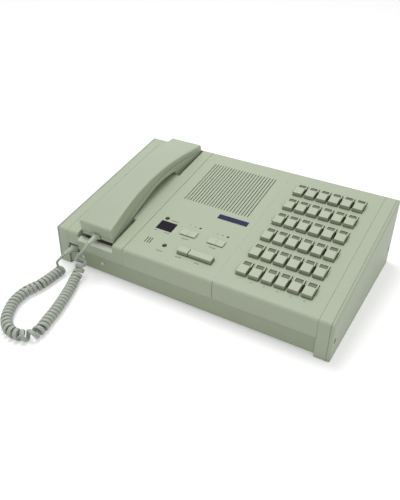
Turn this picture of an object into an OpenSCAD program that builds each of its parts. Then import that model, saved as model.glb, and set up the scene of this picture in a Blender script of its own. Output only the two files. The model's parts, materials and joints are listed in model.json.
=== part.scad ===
// Desk intercom master station: sloped three-module case between two end caps,
// a cradled handset on a curly cord, a control panel and a 6 by 6 bank of station keys.
// X runs to the right, Y to the back, Z up, and z = 0 is the surface it stands on.

/* [Case] */
// Width over both end caps
body_w = 362; // [340:1:400]
// Depth from front face to rear face
body_d = 218; // [210:1:240]
// Height of the front top edge above the bottom of the end caps
front_h = 49.5; // [46:0.5:60]
// Height of the rear top edge above the bottom of the end caps
rear_h = 90; // [84:0.5:105]
// Width of each end cap
cap_w = 17.4; // [14:0.2:22]
// Wall thickness of the moulded case parts
wall = 2.5; // [2:0.1:3]
// Radius of the front top edge
edge_r = 4.5; // [3:0.5:6]
// Radius of the rear top edge
rear_r = 2.5; // [1.5:0.5:3.5]
// Radius of the outer edges of the end caps
cap_r = 3.2; // [1.5:0.1:4]
// Height of the joint between covers and tray above the bottom of the end caps
joint_h = 27; // [24:0.5:32]
// Height of the tray's underside above the bottom of the end caps
tray_lift = 4.3; // [3:0.1:7]
// Set-back of the tray front behind the covers
tray_inset = 1.5; // [0.5:0.1:2]
// Visible gap between case parts
seam = 0.5; // [0.3:0.1:0.8]

/* [Modules] */
// Width of the cradle cover
cradle_w = 84.1; // [80:0.1:90]
// Width of the control cover
control_w = 121; // [117:0.5:124]

/* [Handset] */
// Length of the handset
handset_len = 211; // [204:0.5:212]
// Width of the handset at its ends
handset_w = 48.2; // [44:0.1:52]
// Distance of the handset's centre line from the left edge of the cradle cover
handset_x = 42.9; // [42:0.1:44]
// Distance of the handset's near end behind the front top edge
handset_s = 6.3; // [5.5:0.1:7]
// Height of the top face above the panel at the near end
near_top = 17.5; // [14:0.5:20]
// Height of the top face above the panel at the far end
far_top = 10.5; // [8:0.5:14]
// Rise of the top arch over the straight line between the ends
arch_rise = 11; // [8:0.5:26]
// Extra fullness of the top behind the mouthpiece
shoulder_rise = 0.5; // [0:0.1:4]
// Rise of the underside arch of the grip
grip_rise = 5.6; // [4:0.1:7]
// How far each side draws in at the grip
waist = 5.9; // [3:0.1:7]
// Depth of the mouth and ear blocks below the panel
block_depth = 10; // [8:0.5:11]
// Distance from the near end to the end of the mouth block
mouth_len = 45.5; // [42:0.5:50]
// Distance from the near end to the start of the ear block
ear_start = 149; // [144:0.5:155]
// Wall thickness of the handset shells
shell_t = 2.2; // [1.8:0.1:2.8]
// Gap between handset and well on each side
well_gap = 1.6; // [1:0.1:2]
// Gap between handset and well at the ends of each block
well_end = 1.5; // [1.5:0.1:2.5]
// Gap between the far end of the handset and its well
well_far = 1.1; // [0.8:0.1:1.4]
// Depth of the ledge in front of the handset
ledge_d = 6.8; // [6.5:0.1:12]
// Height of the ledge above the bottom of the end caps
ledge_h = 43.2; // [42:0.2:44]
// Radius of the ledge's front edge
ledge_r = 4; // [2:0.5:4.5]

/* [Station keys] */
// Keys in each row
key_cols = 6; // [4:1:6]
// Rows of keys
key_rows = 6; // [4:1:6]
// Distance between key columns
col_pitch = 15.3; // [14.8:0.1:16]
// Distance between key rows
row_pitch = 30.8; // [30:0.1:31.5]
// Width of a key
key_w = 11.9; // [11:0.1:12.4]
// Length of a key up the slope
key_l = 22.2; // [21.5:0.1:23]
// Length of the raised push pad at the front of a key
pad_l = 13.2; // [12:0.1:13.6]
// Height of the push pad above the panel
pad_h = 5; // [4:0.1:6]
// Height of the lamp rim above the panel
rim_h = 2; // [1.8:0.1:2.6]
// Width of the rim beside and behind the lamp window
rim_w = 1.4; // [1.2:0.1:1.8]
// Distance of the first key row from the front top edge
key_s = 22.8; // [21:0.1:24]
// Travel of a key
key_travel = 1.5; // [1:0.1:1.7]
// Gap between a key and its opening
key_gap = 0.6; // [0.4:0.1:0.9]

/* [Controls] */
// Number of loudspeaker slots
slots = 23; // [15:1:23]
// Distance between loudspeaker slots
slot_pitch = 4.05; // [3.8:0.05:4.3]
// Width of a loudspeaker slot
slot_w = 1.1; // [1:0.1:2]
// Length of a loudspeaker slot
slot_l = 83.7; // [70:0.1:88]
// Distance of the slots from the front top edge
slot_s = 114; // [110:0.5:118]
// Distance of the first slot from the left edge of the control cover
slot_x = 17; // [15:0.5:20]
// Outer diameter of the loudspeaker
speaker_d = 77; // [66:1:80]
// Width of the badge plate
badge_w = 39.5; // [30:0.5:42]
// Height of the badge plate
badge_l = 7.6; // [6:0.1:9]
// Width of the display window
window_w = 22; // [18:0.5:24]
// Height of the display window
window_l = 15.8; // [12:0.2:18]
// Diameter of a status lamp
lamp_d = 5.4; // [4:0.1:6]
// Width of the cancel key
cancel_w = 14; // [11:0.1:14.5]
// Width of the talk key
talk_w = 29.7; // [26:0.1:32]
// Length of the cancel and talk keys up the slope
bar_l = 9.2; // [8:0.1:10]
// Height of the cancel and talk keys above the panel
bar_h = 5; // [4:0.1:6]
// Distance of the cancel and talk keys from the front top edge
bar_s = 22.8; // [21:0.1:26]
// Width of a slider cap
slider_w = 21.1; // [18:0.1:22]
// Length of a slider cap up the slope
slider_l = 10.2; // [8:0.1:12]
// Height of a slider cap above the panel
slider_h = 1.5; // [1.2:0.1:2.4]
// Travel of a slider to each side of its middle position
slider_travel = 7.2; // [5:0.1:7.4]

/* [Small parts] */
// Head diameter of the screws
screw_head = 5.6; // [5:0.1:6]
// Shank diameter of the screws
screw_d = 3; // [2.5:0.1:3.2]
// Width of the hook plunger
hook_w = 8; // [6:0.5:12]
// Length of the hook plunger up the slope
hook_l = 14; // [10:0.5:18]
// Rise of the hook plunger when the handset is lifted
hook_rise = 4; // [3:0.5:5]

/* [Cord] */
// Outer diameter of the curls
curl_d = 13.4; // [12:0.1:13.6]
// Width of the flat cord along the coil
cord_w = 4.8; // [3:0.1:5]
// Thickness of the flat cord
cord_t = 2.8; // [2.2:0.1:3]
// Number of curls
curls = 48; // [36:1:52]
// Length of the base plug's boot
base_boot = 20.2; // [16:0.1:24]
// Length of the handset plug's boot
hand_boot = 16.5; // [14:0.1:20]

/* [Hidden] */
STATION_KEYS = [for (r = [1 : 6], c = [1 : 6]) str("station_key_", r, c)];

// Running and fitting clearances
fit = 0.3;
slide_fit = 0.2;
screw_fit = 0.2;
// Small overlap that fuses the pieces of one solid
eps = 0.01;

// Case frame
front_y = -body_d / 2;
rear_y = body_d / 2;
slope = atan2(rear_h - front_h, body_d);
panel_l = norm([body_d, rear_h - front_h]);
joint_z = joint_h;
tray_z = tray_lift;
inner_x = body_w / 2 - cap_w;
cradle_x0 = -inner_x;
control_x0 = cradle_x0 + cradle_w;
key_x0 = control_x0 + control_w;
key_x1 = inner_x;

body_color = [0.72, 0.76, 0.66];
key_color = [0.76, 0.78, 0.69];
dark_color = [0.2, 0.22, 0.17];

// ---- helpers ----

function unit(v) = v / norm(v);
function mix(a, b, t) = a + (b - a) * t;

// Points of an arc of radius r that rounds corner p between its neighbours a and b
function corner_arc(p, a, b, r, n) =
    r <= 0 ? [p] :
    let (u = unit(a - p), w = unit(b - p), half = acos(u * w) / 2,
         c = p + unit(u + w) * (r / sin(half)),
         s = p + u * (r / tan(half)), e = p + w * (r / tan(half)),
         a0 = atan2(s.y - c.y, s.x - c.x), a1 = atan2(e.y - c.y, e.x - c.x),
         turn = (a1 - a0 + 540) % 360 - 180)
    [for (i = [0 : n]) c + r * [cos(a0 + turn * i / n), sin(a0 + turn * i / n)]];

function rounded(pts, radii, n = 6) =
    let (m = len(pts))
    [for (i = [0 : m - 1]) each corner_arc(pts[i], pts[(i + m - 1) % m], pts[(i + 1) % m], radii[i], n)];

// Extrudes a YZ outline from x0 to x1
module along_x(x0, x1) {
    translate([x0, 0, 0]) rotate([90, 0, 90]) linear_extrude(x1 - x0) children();
}

// Panel frame: x as in the world, y up the slope from the front top edge, z out of the panel
module on_panel(drop = 0) {
    translate([0, front_y, front_h]) rotate([slope, 0, 0]) translate([0, 0, -drop]) children();
}

// A box in the panel frame from corner a to corner b
module block(a, b) {
    translate(a) cube(b - a);
}

// A box whose corners seen from above are rounded
module soft_block(a, b, r) {
    translate([0, 0, a.z]) linear_extrude(b.z - a.z)
        polygon(rounded([[a.x, a.y], [b.x, a.y], [b.x, b.y], [a.x, b.y]], [r, r, r, r], 4));
}

// Smallest radius left where an outline is moved inwards
least_r = 0.6;
// Height of the top face at depth y, moved inwards by inset
function top_z(y, inset) = front_h + (y - front_y) * tan(slope) - inset / cos(slope);

// Side outline of the case, moved inwards by inset and open down to z0
function case_outline(inset, z0) =
    let (yf = front_y + inset, yr = rear_y - inset)
    rounded([[yf, z0], [yf, top_z(yf, inset)], [yr, top_z(yr, inset)], [yr, z0]],
        [0, max(edge_r - inset, least_r), max(rear_r - inset, least_r), 0]);

// ---- case ----

boss_d = 7;
pilot_d = screw_d + screw_fit;
head_h = 1.8;
sink = 0.4;
boss_x = 8;
boss_y = 8.5;
// Fixing bosses of the covers, in pairs: cradle, control and key cover
cover_boss = [for (x = [control_x0 - boss_x, key_x0 - boss_x, key_x1 - 1.5 * boss_x],
    y = [front_y + boss_y, rear_y - boss_y]) [x, y]];

// One cover between x0 and x1, open below and at its sides
module cover_shell(x0, x1) {
    difference() {
        along_x(x0, x1) polygon(case_outline(0, joint_z));
        along_x(x0 - 1, x1 + 1) polygon(case_outline(wall, joint_z - 1));
    }
}

// Screw boss that stands on the tray floor and reaches up to the panel at depth y
module cover_boss_at(p) {
    z0 = tray_z + wall + slide_fit;
    z1 = top_z(p.y - boss_d / 2, wall / 2);
    difference() {
        translate([p.x, p.y, z0]) cylinder(d = boss_d, h = z1 - z0, $fn = 32);
        translate([p.x, p.y, z0 - 1]) cylinder(d = pilot_d, h = 1 + cover_screw_l, $fn = 24);
    }
}

side_screw_z = 23.4;
side_screw_y = 9.4;
side_boss_d = 9;
side_bore_d = screw_head + 0.8;
side_bore_l = cap_w / 2;
side_bite = 3.8;
tray_y0 = front_y + tray_inset;
tray_y1 = rear_y - tray_inset;
tray_x = inner_x - seam;
tray_top = joint_z - seam;
rib_h = 3;
rib_t = 1.5;
front_screw_x = [cradle_x0 + 22.7, cradle_x0 + 52.2];
front_screw_z = 17.7;
front_head_d = 4;
front_head_h = 1.1;
front_shank_d = 2;

front_boss_d = 6;
front_boss_l = 5;
cover_screw_l = 12;
cover_head_h = head_h - sink;

// Front socket of the curly cord
jack_rim = 1;
jack_w = 14.8;
jack_h = 11.4;
jack_x = cradle_x0 + 1.4 + jack_w / 2;
mouth_depth = 4;
jack_z = 26.2;
jack_depth = 18;
plug_w = 7.7;
plug_h = 6;
plug_len = 12;
plug_sink = 0.4;

module base_tray() {
    color(body_color) difference() {
        union() {
            difference() {
                block([-tray_x, tray_y0, tray_z], [tray_x, tray_y1, tray_top]);
                block([-tray_x + wall, tray_y0 + wall, tray_z + wall],
                    [tray_x - wall, tray_y1 - wall, 2 * tray_top]);
            }
            // Ribs that locate the covers from inside
            for (y = [front_y + wall + fit, rear_y - wall - fit - rib_t])
                translate([-tray_x + wall, y, tray_top - rib_h])
                    cube([2 * (tray_x - wall), rib_t, 2 * rib_h]);
            // Bosses for the end-cap screws
            for (sx = [-1, 1], sy = [-1, 1])
                translate([sx * tray_x, sy * (rear_y - side_screw_y), side_screw_z])
                    rotate([0, -sx * 90, 0]) cylinder(d = boss_d, h = side_bite + 2, $fn = 32);
            // Bosses behind the two front screws
            for (x = front_screw_x)
                translate([x, tray_y0 + wall - eps, front_screw_z]) rotate([-90, 0, 0])
                    cylinder(d = front_boss_d, h = front_boss_l, $fn = 32);
            // Walls round the cord socket
            translate([jack_x - jack_w / 2 - jack_rim, tray_y0 + wall - eps, tray_z + wall - eps])
                cube([jack_w + 2 * jack_rim, jack_depth, jack_z + jack_h / 2 - tray_z - wall + jack_rim]);
        }
        // Socket mouth and the plug's chamber
        translate([jack_x - jack_w / 2, tray_y0 - 1, jack_z - jack_h / 2])
            cube([jack_w, 1 + mouth_depth, jack_h]);
        translate([jack_x - plug_w / 2 - slide_fit, tray_y0, jack_z - plug_h / 2 - slide_fit])
            cube([plug_w + 2 * slide_fit, plug_sink + plug_len + fit, plug_h + 2 * slide_fit]);
        // End-cap screws
        for (sx = [-1, 1], sy = [-1, 1])
            translate([sx * (tray_x + 1), sy * (rear_y - side_screw_y), side_screw_z])
                rotate([0, -sx * 90, 0]) cylinder(d = pilot_d, h = 1 + side_bite, $fn = 24);
        // Front screws
        for (x = front_screw_x)
            translate([x, tray_y0 - 1, front_screw_z]) rotate([-90, 0, 0])
                cylinder(d = front_shank_d + screw_fit, h = 1 + front_boss_l + 1, $fn = 24);
        // Cover screws from below
        for (p = cover_boss) {
            translate([p.x, p.y, tray_z - 1]) cylinder(d = pilot_d + slide_fit, h = 2 * wall + 1, $fn = 24);
            translate([p.x, p.y, tray_z - 1])
                cylinder(d = screw_head + 2 * fit, h = 1 + cover_head_h, $fn = 32);
        }
    }
}

// ---- end caps ----

foot_r = 2;
groove_w = 0.6;
groove_t = 0.5;
groove_in = 0.4;

// Outer solid of the right end cap, moved inwards by inset
module cap_solid(inset) {
    x0 = inner_x - 20 * sign(inset);
    x1 = body_w / 2 - inset;
    r = max(cap_r - inset, least_r);
    intersection() {
        along_x(x0, x1) polygon(rounded(
            [[front_y + inset, inset], [front_y + inset, top_z(front_y + inset, inset)],
             [rear_y - inset, top_z(rear_y - inset, inset)], [rear_y - inset, inset]],
            [foot_r, max(edge_r - inset, least_r), max(rear_r - inset, least_r), foot_r]));
        // Rounded front and rear outer corners, seen from above
        linear_extrude(rear_h * 2) polygon(rounded(
            [[x0 - 1, front_y + inset], [x1, front_y + inset],
             [x1, rear_y - inset], [x0 - 1, rear_y - inset]], [0, r, r, 0]));
        // Rounded outer top edge, seen along the slope
        translate([0, front_y, front_h]) rotate([slope, 0, 0]) translate([0, -panel_l / 2, 0])
            rotate([-90, 0, 0]) linear_extrude(panel_l * 2) polygon(rounded(
                [[x0 - 1, inset], [x1, inset], [x1, rear_h * 2], [x0 - 1, rear_h * 2]], [0, r, 0, 0]));
    }
}

module right_cap() {
    difference() {
        union() {
            difference() {
                cap_solid(0);
                cap_solid(wall);
            }
            for (sy = [-1, 1])
                translate([inner_x, sy * (rear_y - side_screw_y), side_screw_z]) rotate([0, 90, 0])
                    cylinder(d = side_boss_d, h = cap_w - wall / 2, $fn = 32);
        }
        for (sy = [-1, 1])
            translate([inner_x - 1, sy * (rear_y - side_screw_y), side_screw_z]) rotate([0, 90, 0]) {
                cylinder(d = screw_d + 2 * slide_fit, h = cap_w + 2, $fn = 24);
                translate([0, 0, 1 + cap_w - side_bore_l]) cylinder(d = side_bore_d, h = cap_w, $fn = 32);
            }
        // Shadow groove round the outer edge
        translate([body_w / 2 - cap_r - groove_in - groove_w, 0, 0]) difference() {
            along_x(0, groove_w) polygon(case_outline(-1, -1));
            along_x(-1, groove_w + 1) polygon(case_outline(groove_t, -2));
        }
    }
}

module left_end_cap() {
    color(body_color) mirror([1, 0, 0]) right_cap();
}

module right_end_cap() {
    color(body_color) right_cap();
}

// ---- cradle ----

well_cx = cradle_x0 + handset_x;
well_hw = handset_w / 2 + well_gap;
// Start and end of the two wells along the slope: mouthpiece, earpiece
wells = [[ledge_d * cos(slope) + (ledge_h - front_h) * sin(slope), handset_s + mouth_len + well_end],
    [handset_s + ear_start - well_end, handset_s + handset_len + well_far]];
well_depth = block_depth + fit;
// How much wider the open front is than the wells, on each side
ledge_side = 0.6;
hook_in = 34;
hook_s = handset_s + ear_start + hook_in;

module cradle_cover() {
    color(body_color) difference() {
        union() {
            cover_shell(cradle_x0 + seam / 2, control_x0 - seam / 2);
            // Wells
            intersection() {
                on_panel() for (w = wells)
                    block([well_cx - well_hw - wall, w[0] - wall, -well_depth - wall],
                        [well_cx + well_hw + wall, w[1] + wall, -wall / 2]);
                along_x(cradle_x0 + seam / 2, control_x0 - seam / 2)
                    polygon(case_outline(wall / 2, joint_z));
            }
            // Ledge in front of the handset
            translate([well_cx - well_hw - wall, front_y + wall / 2, ledge_h - wall])
                cube([2 * (well_hw + wall), ledge_d - wall / 2, wall]);
            for (p = [cover_boss[0], cover_boss[1]]) cover_boss_at(p);
        }
        on_panel() for (w = wells)
            block([well_cx - well_hw, w[0], -well_depth], [well_cx + well_hw, w[1], well_depth]);
        // Open front above the ledge
        along_x(well_cx - well_hw - ledge_side, well_cx + well_hw + ledge_side) polygon(rounded(
            [[front_y - 1, rear_h], [front_y - 1, ledge_h - ledge_r], [front_y, ledge_h - ledge_r],
             [front_y, ledge_h], [front_y + ledge_d + wall, ledge_h], [front_y + ledge_d + wall, rear_h]],
            [0, 0, 0, ledge_r - eps, 0, 0]));
        // Opening of the hook plunger
        on_panel() translate([well_cx, hook_s, 0])
            block([-hook_w / 2 - slide_fit, -hook_l / 2 - slide_fit, -well_depth - wall - 1],
                [hook_w / 2 + slide_fit, hook_l / 2 + slide_fit, 0]);
        // Socket mouth
        translate([jack_x - jack_w / 2, front_y - 1, joint_z - 1])
            cube([jack_w, wall + 2, jack_z + jack_h / 2 - joint_z + 1]);
    }
}

module hook_plunger() {
    flange = 2;
    skirt = 9;
    color([0.3, 0.32, 0.3]) on_panel(well_depth) union() {
        translate([well_cx, hook_s, 0]) {
            translate([-hook_w / 2, -hook_l / 2, -skirt]) cube([hook_w, hook_l, skirt]);
            translate([-hook_w / 2 - flange, -hook_l / 2 - flange, -skirt])
                cube([hook_w + 2 * flange, hook_l + 2 * flange, skirt - wall - hook_rise - fit]);
        }
    }
}

// ---- panels ----

// Places of the control panel, measured from its left edge and the front top edge
slider_xs = [control_x0 + 57.3, control_x0 + 94.5];
slider_s = 57.9;
stem_w = 4;
badge_x = control_x0 + 93.5;
badge_s = 101.5;
window_x = control_x0 + 25.4;
window_s = 58.3;
lamp_ps = [[control_x0 + 18.4, 71.4], [control_x0 + 41.8, 27.9]];
mic_x = control_x0 + 19.3;
mic_s = 28.4;
mic_pitch = 3.15;
mic_slot = [1.1, 9.9];
cancel_x = control_x0 + 62;
bar_split = 0.9;
talk_x = cancel_x + cancel_w + bar_split;
speaker_x = slot_x + control_x0 + slot_pitch * (slots - 1) / 2;
speaker_s = slot_s + slot_l / 2;
window_t = 1.2;
window_seat = 1.2;
bar_gap = 0.6;
badge_t = 1;
badge_sink = 0.5;

board_t = 1.6;
board_drop = 12;
key_flange = 1.2;
key_under = wall + fit;
key_foot = key_under + 1;
// Room left above the switch housings and below the stems when a key is pressed
switch_room = 1.2;
stem_room = 0.5;
switch_top = key_foot + key_travel + switch_room;
switch_w = 8;
stem_d = 5;
switch_bore = stem_d + 2 * slide_fit;
stem_len = board_drop - key_travel - stem_room;

// Board outlines in the panel frame: x0, s0, x1, s1
main_board_area = [control_x0 + 8, 8, key_x0 - 13, 92];
grid_w = (key_cols - 1) * col_pitch;
grid_x = (key_x0 + key_x1) / 2 - grid_w / 2;
key_board_area = [grid_x - 10.5, key_s - 8, grid_x + grid_w + 10.5,
    key_s + (key_rows - 1) * row_pitch + key_l + 7.5];
post_d = 4;
function corners(b, inset) =
    [for (x = [b[0] + inset, b[2] - inset], s = [b[1] + inset, b[3] - inset]) [x, s]];
main_posts = corners(main_board_area, 4);
key_posts = corners(key_board_area, 3);

module board_posts(ps) {
    on_panel() for (p = ps)
        translate([p.x, p.y, -board_drop + slide_fit / 2])
            cylinder(d = post_d, h = board_drop - slide_fit / 2 - wall / 2, $fn = 24);
}

module control_cover() {
    depth = wall + 2;
    color(body_color) difference() {
        union() {
            cover_shell(control_x0 + seam / 2, key_x0 - seam / 2);
            for (p = [cover_boss[2], cover_boss[3]]) cover_boss_at(p);
            board_posts(main_posts);
        }
        on_panel() {
            // Loudspeaker slots
            for (i = [0 : slots - 1])
                block([control_x0 + slot_x + i * slot_pitch - slot_w / 2, slot_s, -depth],
                    [control_x0 + slot_x + i * slot_pitch + slot_w / 2, slot_s + slot_l, 1]);
            // Badge recess
            block([badge_x - badge_w / 2 - fit / 2, badge_s - badge_l / 2 - fit / 2, -badge_sink],
                [badge_x + badge_w / 2 + fit / 2, badge_s + badge_l / 2 + fit / 2, 1]);
            // Display window: seat and opening
            block([window_x - window_w / 2 - fit / 2, window_s - window_l / 2 - fit / 2,
                -window_t - slide_fit],
                [window_x + window_w / 2 + fit / 2, window_s + window_l / 2 + fit / 2, 1]);
            block([window_x - window_w / 2 + window_seat, window_s - window_l / 2 + window_seat, -depth],
                [window_x + window_w / 2 - window_seat, window_s + window_l / 2 - window_seat, 1]);
            // Lamp holes
            for (p = lamp_ps)
                translate([p.x, p.y, -depth]) cylinder(d = lamp_d + 2 * slide_fit, h = depth + 1, $fn = 32);
            // Microphone slots
            for (i = [-1 : 1])
                block([mic_x + i * mic_pitch - mic_slot.x / 2, mic_s - mic_slot.y / 2, -depth],
                    [mic_x + i * mic_pitch + mic_slot.x / 2, mic_s + mic_slot.y / 2, 1]);
            // Slider slots
            for (x = slider_xs)
                block([x - stem_w / 2 - slider_travel - fit, slider_s - stem_w / 2 - fit, -depth],
                    [x + stem_w / 2 + slider_travel + fit, slider_s + stem_w / 2 + fit, 1]);
            // Opening of the cancel and talk keys
            block([cancel_x - bar_gap, bar_s - bar_gap, -depth],
                [talk_x + talk_w + bar_gap, bar_s + bar_l + bar_gap, 1]);
        }
    }
}

module key_cover() {
    depth = wall + 2;
    slot_from = 5;
    slot_to = 5.6;
    slot_side = 1.8;
    color(body_color) difference() {
        union() {
            cover_shell(key_x0 + seam / 2, key_x1 - seam / 2);
            for (p = [cover_boss[4], cover_boss[5]]) cover_boss_at(p);
            board_posts(key_posts);
        }
        on_panel() for (r = [0 : key_rows - 1]) {
            s0 = key_s + r * row_pitch;
            for (c = [0 : key_cols - 1]) {
                x = grid_x + c * col_pitch;
                block([x - key_w / 2 - key_gap, s0 - key_gap, -depth],
                    [x + key_w / 2 + key_gap, s0 + key_l + key_gap, 1]);
            }
            // Side slot that joins the openings of a row
            block([grid_x - key_w / 2 - key_gap - slot_side, s0 + slot_from, -depth],
                [grid_x + grid_w + key_w / 2 + key_gap + slot_side, s0 + key_l - slot_to, 1]);
        }
    }
}

module badge_plate() {
    color([0.08, 0.1, 0.25]) on_panel(badge_sink - slide_fit / 2) translate([badge_x, badge_s, 0])
        soft_block([-badge_w / 2, -badge_l / 2, 0], [badge_w / 2, badge_l / 2, badge_t], 0.6);
}

module display_window() {
    color([0.12, 0.06, 0.16]) on_panel(window_t + slide_fit / 2) block(
        [window_x - window_w / 2, window_s - window_l / 2, 0],
        [window_x + window_w / 2, window_s + window_l / 2, window_t]);
}

// ---- boards, lamps, loudspeaker ----

lens_w = key_w - 2 * rim_w - 2 * fit;
lens_l = key_l - pad_l - rim_w - 2 * fit;
lens_top = rim_h - 0.8;
dome_h = 1.4;
dome_r = (pow(lamp_d / 2, 2) + pow(dome_h, 2)) / (2 * dome_h);

// Switch housing with the bore that guides a key stem, standing on the board
module switch_at(x, s) {
    translate([x, s, -board_drop]) difference() {
        translate([-switch_w / 2, -switch_w / 2, -eps]) cube([switch_w, switch_w, board_drop - switch_top]);
        cylinder(d = switch_bore, h = board_drop, $fn = 32);
    }
}

module board(b) {
    translate([b[0], b[1], -board_drop - board_t]) cube([b[2] - b[0], b[3] - b[1], board_t]);
}

function key_at(r, c) = [grid_x + c * col_pitch, key_s + r * row_pitch];

module main_board() {
    color([0.16, 0.35, 0.22]) on_panel() {
        difference() {
            union() {
                board(main_board_area);
                switch_at(cancel_x + cancel_w / 2, bar_s + bar_l / 2);
                switch_at(talk_x + talk_w / 2, bar_s + bar_l / 2);
                // Digit display below the window
                block([window_x - window_w / 2 + 1.6, window_s - window_l / 2 + 1.6, -board_drop - eps],
                    [window_x + window_w / 2 - 1.6, window_s + window_l / 2 - 1.6, -window_t - 1.4]);
                // Microphone capsule
                translate([mic_x, mic_s, -board_drop - eps]) cylinder(d = 9.7, h = 6, $fn = 32);
                // Slide controls
                for (x = slider_xs)
                    block([x - stem_w / 2 - slider_travel - 2, slider_s - 4.5, -board_drop - eps],
                        [x + stem_w / 2 + slider_travel + 2, slider_s + 4.5, -switch_top]);
            }
            for (x = slider_xs)
                block([x - stem_w / 2 - slider_travel - fit, slider_s - stem_w / 2 - fit, -board_drop + 1],
                    [x + stem_w / 2 + slider_travel + fit, slider_s + stem_w / 2 + fit, 0]);
        }
    }
}

module key_board() {
    color([0.16, 0.35, 0.22]) on_panel() {
        board(key_board_area);
        for (r = [0 : key_rows - 1], c = [0 : key_cols - 1]) {
            p = key_at(r, c);
            switch_at(p.x, p.y + pad_l / 2);
        }
    }
}

module lamp_lenses() {
    color(dark_color) on_panel() {
        for (r = [0 : key_rows - 1], c = [0 : key_cols - 1]) {
            p = key_at(r, c);
            s0 = p.y + pad_l + fit;
            block([p.x - lens_w / 2, s0, -board_drop + slide_fit / 2],
                [p.x + lens_w / 2, s0 + lens_l, lens_top]);
        }
        for (p = lamp_ps) translate([p.x, p.y, 0]) {
            translate([0, 0, -board_drop + slide_fit / 2]) cylinder(d = lamp_d, h = board_drop, $fn = 32);
            // Domed top
            translate([0, 0, slide_fit / 2 - eps]) intersection() {
                translate([0, 0, dome_h - dome_r]) sphere(r = dome_r, $fn = 48);
                cylinder(d = lamp_d, h = lamp_d, $fn = 32);
            }
        }
    }
}

module speaker() {
    magnet_d = 40;
    rim = 4;
    depth = 30;
    color([0.25, 0.25, 0.26]) on_panel(wall + slide_fit) translate([speaker_x, speaker_s, 0])
        rotate_extrude($fn = 64) polygon([[0, -12], [10, -12], [speaker_d / 2 - rim - 2, -1.5],
            [speaker_d / 2 - rim, 0], [speaker_d / 2, 0], [speaker_d / 2, -2], [speaker_d / 2 - rim, -3],
            [magnet_d / 2 + 2, -16], [magnet_d / 2, -depth + 10], [magnet_d / 2, -depth], [0, -depth]]);
}

// ---- keys and sliders ----

// Radius of a push pad's edges, and how far its top falls towards the lamp
pad_r = 0.9;
pad_fall = 0.4;

// Side outline of a key in the panel frame: y up the slope, z out of the panel
function key_side() =
    rounded([[0, -key_under], [-key_flange - key_gap, -key_under], [-key_flange - key_gap, -key_foot],
        [key_l + key_flange + key_gap, -key_foot], [key_l + key_flange + key_gap, -key_under],
        [key_l, -key_under], [key_l, rim_h], [pad_l, rim_h], [pad_l, pad_h - pad_fall], [0, pad_h]],
        [0, 0, 0, 0, 0, 0, pad_r, 0, pad_r, pad_r], 5);

module station_key(r, c) {
    p = key_at(r, c);
    color(key_color) on_panel() translate([p.x, p.y, 0]) {
        difference() {
            along_x(-key_w / 2, key_w / 2) polygon(key_side());
            // Lamp window
            block([-key_w / 2 + rim_w, pad_l, -key_foot - 1],
                [key_w / 2 - rim_w, key_l - rim_w, rim_h + 1]);
            // Rounded long edges of the push pad
            for (m = [0, 1]) mirror([m, 0, 0]) translate([key_w / 2, 0, 0]) edge_cut(pad_r, pad_h);
        }
        translate([0, pad_l / 2, -stem_len]) cylinder(d = stem_d, h = stem_len - key_foot + 1, $fn = 32);
    }
}

// Cutter that rounds a long edge at x = 0 and height h to radius r
module edge_cut(r, h) {
    translate([0, -5, h]) rotate([-90, 0, 0]) linear_extrude(pad_l + 5) difference() {
        translate([-r, -1]) square([r + 1, r + 1]);
        translate([-r, r]) circle(r, $fn = 24);
    }
}

// A broad key: w wide, with its left front corner at x
module bar_key(x, w) {
    flange = 1.4;
    reach = bar_gap + flange;
    color(key_color) on_panel() translate([x, bar_s, 0]) {
        along_x(0, w) polygon(rounded(
            [[0, -key_under], [-reach, -key_under], [-reach, -key_foot], [bar_l + reach, -key_foot],
             [bar_l + reach, -key_under], [bar_l, -key_under], [bar_l, bar_h], [0, bar_h]],
            [0, 0, 0, 0, 0, 0, 1.2, 1.6], 5));
        translate([w / 2, bar_l / 2, -stem_len])
            cylinder(d = stem_d, h = stem_len - key_foot + 1, $fn = 32);
    }
}

module slider_cap(x) {
    color(key_color) on_panel() translate([x, slider_s, 0]) {
        soft_block([-slider_w / 2, -slider_l / 2, slide_fit], [slider_w / 2, slider_l / 2, slider_h], 0.8);
        translate([-stem_w / 2, -stem_w / 2, -board_drop + 2])
            cube([stem_w, stem_w, board_drop - 2 + slide_fit + 0.2]);
    }
}

// ---- handset ----

handset_cx = well_cx;
near_seam = 2.5;
far_seam = 0.2;
seam_rise = 14.2;
seam_skew = 1.3;
shell_seam = 0.4;
near_low = -2.5;
far_low = -3;
near_cut = 5;
far_cut = 4;
grip_near = 0.8;
grip_far = 4.8;
grip_skew = 1.4;
shoulder_end = 0.45;
profile_steps = 24;

function bow(u) = sin(180 * min(max(u, 0), 1));
// Height of the top face, of the joint of the shells and of the grip's underside along the handset
function top_at(u) = mix(near_top, far_top, u) + arch_rise * bow(u)
    + shoulder_rise * pow(bow(u / shoulder_end), 2);
function seam_at(u) = mix(near_seam, far_seam, u) + seam_rise * bow(pow(u, seam_skew));
function grip_at(v) = mix(grip_near, grip_far, v) + grip_rise * bow(pow(v, grip_skew));

// Side outline of the handset moved inwards by g, with its near end at 0
function handset_side(g) =
    let (n = profile_steps)
    concat([for (i = [0 : n]) [mix(g, handset_len - g, i / n), top_at(i / n) - g]],
        [[handset_len - g, far_low + g], [handset_len - far_cut, -block_depth + g],
         [ear_start + g, -block_depth + g]],
        [for (i = [n : -1 : 0]) [mix(mouth_len - g, ear_start + g, i / n), grip_at(i / n) + g]],
        [[mouth_len - g, -block_depth + g], [near_cut, -block_depth + g], [g, near_low + g]]);

// Outline seen from above, moved inwards by g
function handset_plan(g) =
    let (n = profile_steps, side = [for (i = [0 : n]) [handset_w / 2 - waist * bow(i / n) - g,
        mix(g, handset_len - g, i / n)]])
    concat(side, [for (i = [n : -1 : 0]) [-side[i].x, side[i].y]]);

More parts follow.
